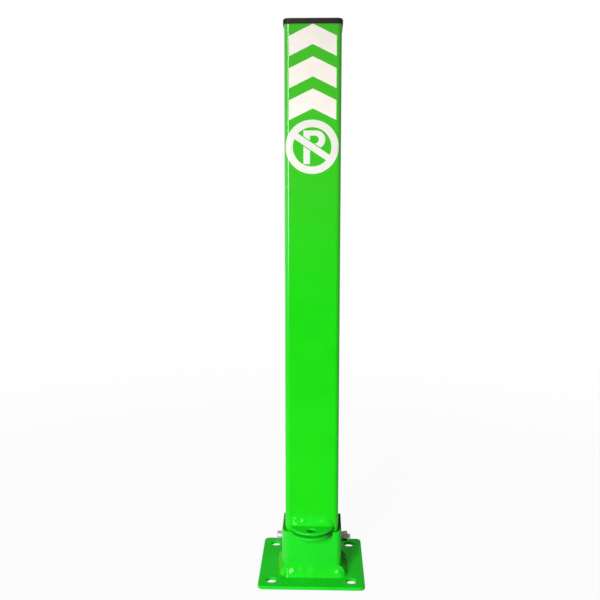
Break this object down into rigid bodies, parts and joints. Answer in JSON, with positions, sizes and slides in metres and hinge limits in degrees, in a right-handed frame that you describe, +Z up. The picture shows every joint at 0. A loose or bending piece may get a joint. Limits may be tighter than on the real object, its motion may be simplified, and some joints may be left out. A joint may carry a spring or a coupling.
{
  "type": "fold-down parking post",
  "caption": "Square steel parking post that folds down on a cross bolt in a U bracket on a bolt-down plate, with padlock tabs, reflective chevrons and a plastic cap.",
  "frame": {"origin": "centre of the base plate's underside", "axes": "+Z up along the upright post, -Y towards the padlock tabs and chevrons, the post folds back to +Y"},
  "size_m": [0.12, 0.12, 0.6155],
  "materials": {
    "green_powder_coat": "glossy powder coat",
    "zinc_plate": "bright zinc plate",
    "black_plastic": "moulded, satin",
    "reflective_film": "retroreflective film"
  },
  "bodies": {
    "base": {"base_plate": "green_powder_coat", "hinge_bracket": "green_powder_coat", "foot_weld_front": "green_powder_coat", "foot_weld_left": "green_powder_coat", "foot_weld_right": "green_powder_coat", "lower_lock_tab": "green_powder_coat", "lower_tab_weld": "green_powder_coat", "hinge_bolt": "zinc_plate", "spring_washer": "zinc_plate", "head_washer": "zinc_plate", "nut_washer": "zinc_plate", "hinge_nut": "zinc_plate"},
    "post": {"post_tube": "green_powder_coat", "upper_lock_tab": "green_powder_coat", "upper_tab_weld": "green_powder_coat", "top_cap": "black_plastic", "chevron_upper": "reflective_film", "chevron_middle": "reflective_film", "chevron_lower": "reflective_film"}
  },
  "joints": [
    {"name": "post_fold", "type": "hinge", "parent": "base", "child": "post", "pos_m": [0, 0, 0.03602], "axis": [-1, 0, 0], "range_deg": [0, 90]}
  ]
}
